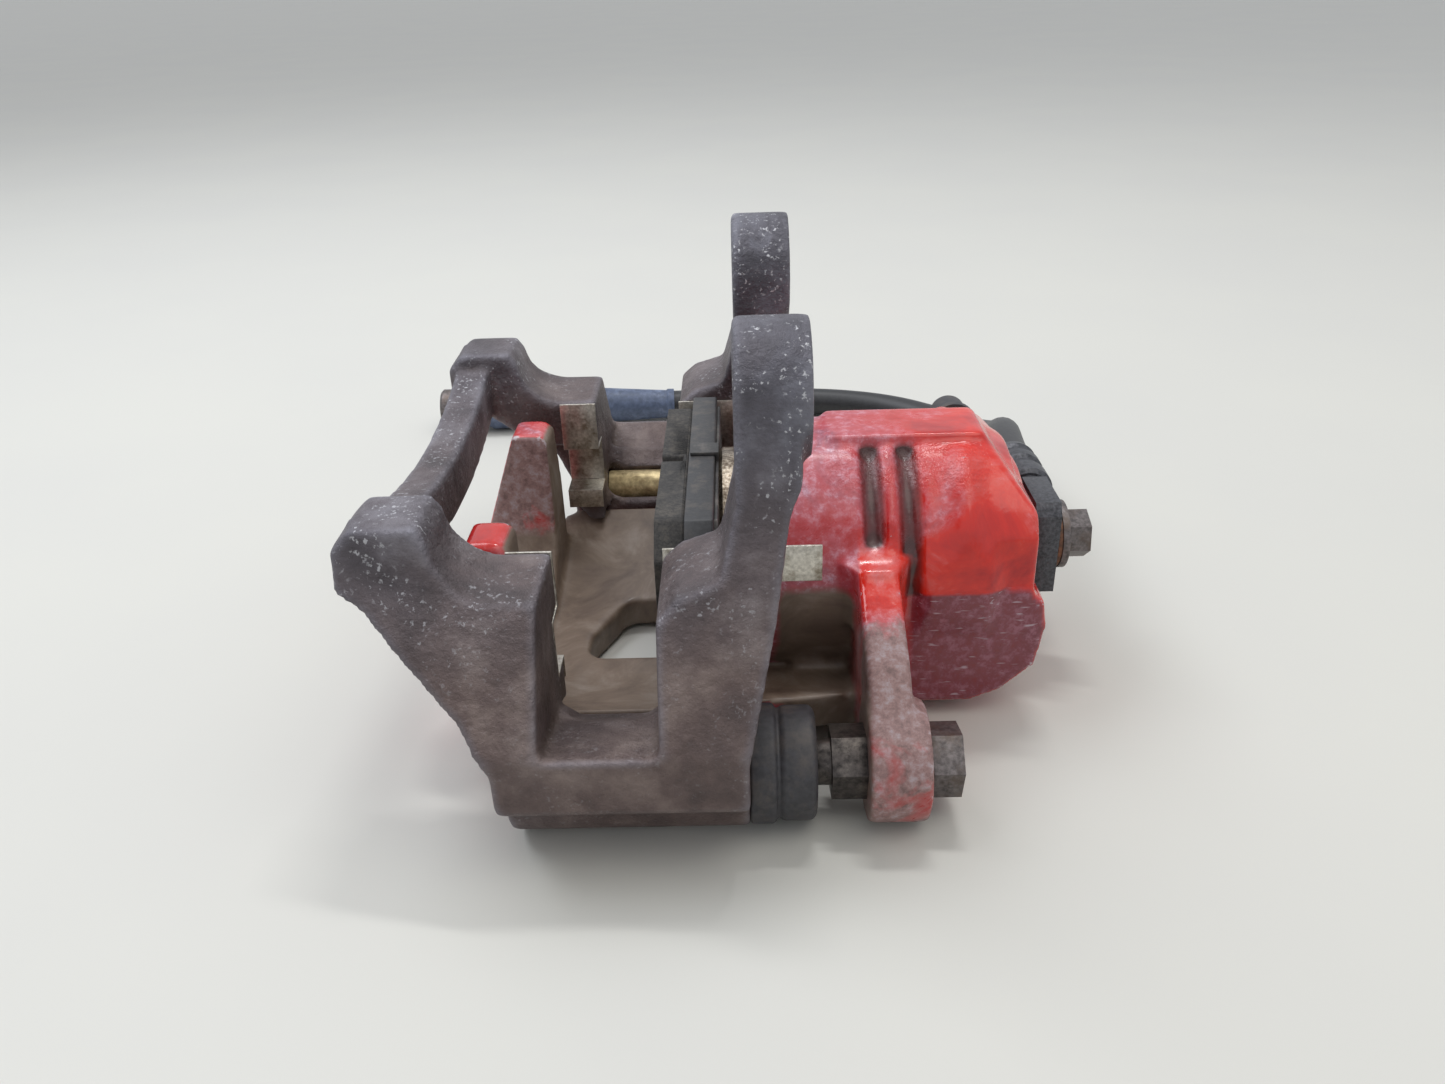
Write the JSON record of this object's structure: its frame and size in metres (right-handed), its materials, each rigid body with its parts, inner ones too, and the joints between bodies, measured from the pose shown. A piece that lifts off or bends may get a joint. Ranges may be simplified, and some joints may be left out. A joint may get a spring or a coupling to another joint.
{
  "type": "brake caliper",
  "caption": "Floating brake caliper with a single piston on guide pins in its carrier bracket, with inner pad, banjo hose fitting and rubber hose.",
  "frame": {"origin": "midway between the two ear bolt holes, on the ears' inboard faces", "axes": "+X inboard along the piston and the guide pins, +Y along the disc's edge, +Z from the disc's edge towards the hub"},
  "size_m": [0.2105, 0.2613, 0.1067],
  "materials": {
    "cast_iron": "rough, aged, with pale oxide specks",
    "red_paint": "gloss, worn and faded",
    "rubber": "matt",
    "stainless": "bright, slightly soiled",
    "spring_steel": "dull",
    "zinc_steel": "worn zinc",
    "copper": "dull copper",
    "chromed_steel": "polished, soiled",
    "painted_plate": "satin black",
    "friction": "coarse, matt",
    "shim": "coated",
    "block_steel": "cast, grey",
    "hose_rubber": "matt",
    "sleeve_rubber": "satin, dusty"
  },
  "bodies": {
    "bracket": {"bracket": "cast_iron", "pin_boot_near": "rubber", "pin_boot_far": "rubber", "pad_clip_near_inner": "stainless", "pad_clip_far_inner": "stainless", "pad_clip_near_outer": "stainless", "pad_clip_far_outer": "stainless"},
    "caliper": {"caliper_body": "red_paint", "guide_pin_near": "zinc_steel", "guide_pin_far": "zinc_steel", "pin_bolt_near": "zinc_steel", "pin_bolt_far": "zinc_steel", "pin_bush": "rubber", "piston_seal": "rubber", "dust_boot": "rubber", "banjo_block": "block_steel", "banjo_bolt": "zinc_steel", "copper_washer_inner": "copper", "copper_washer_outer": "copper", "hose_ferrule": "block_steel", "brake_hose": "hose_rubber", "hose_sleeve": "sleeve_rubber", "hose_end": "zinc_steel"},
    "piston": {"piston": "chromed_steel", "pad_plate": "painted_plate", "pad_friction": "friction", "pad_shim": "shim", "pad_spring": "spring_steel"},
    "bleed_screw": {"bleed_screw": "zinc_steel"},
    "bleed_cap": {"bleed_cap": "rubber"}
  },
  "joints": [
    {"name": "caliper_slide", "type": "slide", "parent": "bracket", "child": "caliper", "axis": [1, 0, 0], "range_m": [-0.003, 0.009]},
    {"name": "piston_slide", "type": "slide", "parent": "caliper", "child": "piston", "axis": [-1, 0, 0], "range_m": [-0.003, 0.009]},
    {"name": "bleed_turn", "type": "hinge", "parent": "caliper", "child": "bleed_screw", "pos_m": [0.0456, 0.031, -0.0442], "axis": [0, 1, 0], "range_deg": [0, 360]},
    {"name": "bleed_cap_pull", "type": "slide", "parent": "bleed_screw", "child": "bleed_cap", "axis": [0, 1, 0], "range_m": [0, 0.02]}
  ]
}
